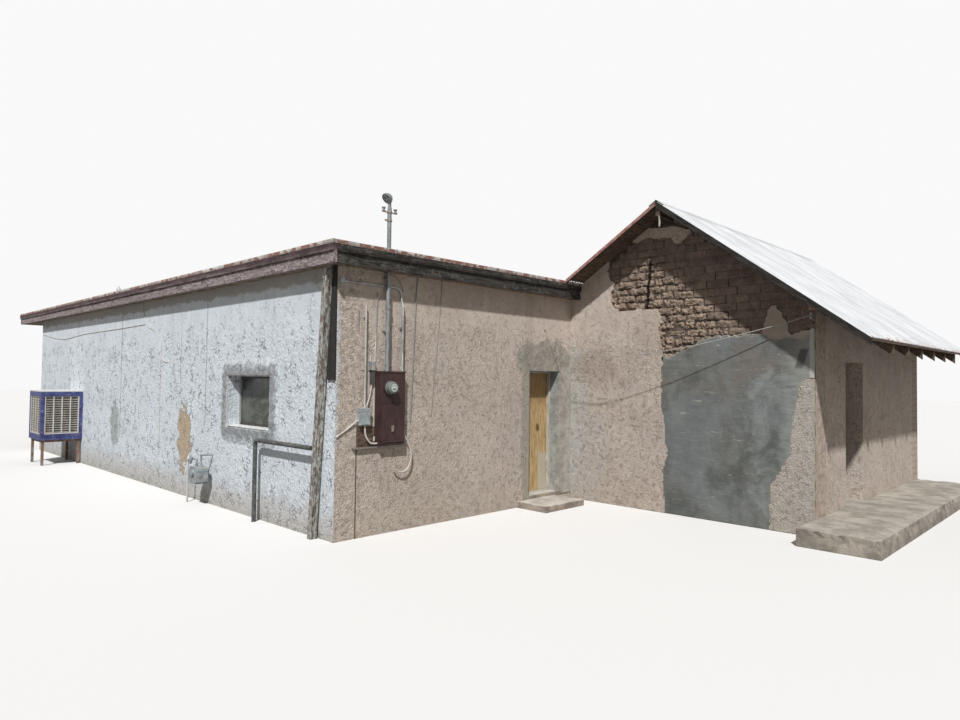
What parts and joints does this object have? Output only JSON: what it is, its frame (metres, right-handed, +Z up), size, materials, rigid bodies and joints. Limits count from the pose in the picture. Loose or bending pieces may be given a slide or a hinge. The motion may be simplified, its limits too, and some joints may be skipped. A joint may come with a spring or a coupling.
{
  "type": "adobe house",
  "caption": "Old adobe house: a long flat-roofed stucco wing meets a gabled wing of bare earth brick under a corrugated metal roof, with a hinged front door.",
  "frame": {"origin": "middle of the whole object's box at ground level", "axes": "+X along the long front wall towards the gabled wing, +Y from the front wall to the back, +Z up"},
  "size_m": [20.475, 11.73, 4.7623],
  "materials": {
    "white_stucco": "rough painted lime and cement stucco, flaking",
    "shade_stucco": "rough grey-white stucco",
    "pink_stucco": "coarse tan-pink stucco, worn",
    "bare_adobe": "eroded sun-dried earth brick",
    "cement_patch": "trowelled grey cement",
    "lime_plaster": "smooth old lime plaster",
    "floor_concrete": "worn concrete",
    "roof_timber": "dark stained softwood",
    "soffit_boards": "stained, water-marked boards",
    "painted_fascia": "maroon paint peeling off grey boards",
    "bare_fascia": "weathered grey board with traces of paint",
    "rolled_roofing": "pale coated roll roofing with a rusty edge",
    "roof_sheet": "galvanised corrugated sheet, sun-bleached, rust at the rims",
    "door_wood": "weathered ochre plywood",
    "frame_wood": "weathered softwood",
    "ironmongery": "dull steel",
    "window_metal": "dull aluminium",
    "window_glass": "dusty glass",
    "conduit_steel": "galvanised conduit, weathered",
    "panel_paint": "maroon enamel, scratched",
    "meter_glass": "clear glass dome",
    "box_paint": "grey enamel",
    "cooler_paint": "faded blue enamel",
    "cooler_louvre": "off-white pressed louvres",
    "stand_iron": "rusty angle iron",
    "post_timber": "flaking pale green paint on timber",
    "cable_sheath": "weathered grey cable sheath",
    "black_pipe": "black pipe, dusty",
    "gas_meter_paint": "dull blue-grey enamel"
  },
  "bodies": {
    "root": {"front_wall": "white_stucco", "recess_side_wall": "white_stucco", "recess_wall": "shade_stucco", "far_end_wall": "white_stucco", "back_wall": "white_stucco", "end_wall_pier": "pink_stucco", "end_wall_lintel": "pink_stucco", "corner_pier": "pink_stucco", "shared_wall": "pink_stucco", "gable_wall": "bare_adobe", "gable_back_wall": "bare_adobe", "east_wall_near": "pink_stucco", "east_wall_lintel": "pink_stucco", "east_wall_far": "pink_stucco", "gable_stucco": "pink_stucco", "gable_cement": "cement_patch", "ridge_plaster": "lime_plaster", "door_surround": "cement_patch", "window_surround": "cement_patch", "wing_floor": "floor_concrete", "gable_floor": "floor_concrete", "door_step": "floor_concrete", "porch_slab": "floor_concrete", "roof_beams": "roof_timber", "roof_deck": "roof_timber", "roof_covering": "rolled_roofing", "eave_soffit": "soffit_boards", "fascia_front": "painted_fascia", "fascia_end": "bare_fascia", "fascia_back": "painted_fascia", "gable_rafters": "roof_timber", "ridge_board": "roof_timber", "roof_boards_east": "roof_timber", "roof_boards_west": "roof_timber", "roof_sheet_east": "roof_sheet", "roof_sheet_west": "roof_sheet", "ridge_cap": "roof_sheet", "rake_boards": "painted_fascia", "door_frame": "frame_wood", "frame_hinges": "ironmongery", "window_frame": "window_metal", "window_glass": "window_glass", "mast": "conduit_steel", "meter_panel": "panel_paint", "meter_glass": "meter_glass", "disconnect_box": "box_paint", "conduits": "conduit_steel", "wall_cables": "cable_sheath", "cable_fittings": "ironmongery", "gable_cable": "cable_sheath", "wall_pipe": "black_pipe", "gas_meter": "gas_meter_paint", "cooler_cabinet": "cooler_paint", "cooler_louvres": "cooler_louvre", "cooler_stand": "stand_iron", "corner_post": "post_timber"},
    "front_door": {"door_leaf": "door_wood", "door_knob": "ironmongery", "leaf_hinges": "ironmongery"}
  },
  "joints": [
    {"name": "front_door_swing", "type": "hinge", "parent": "root", "child": "front_door", "pos_m": [4.9875, -0.608, 1.2], "axis": [0, 0, -1], "range_deg": [0, 100]}
  ]
}
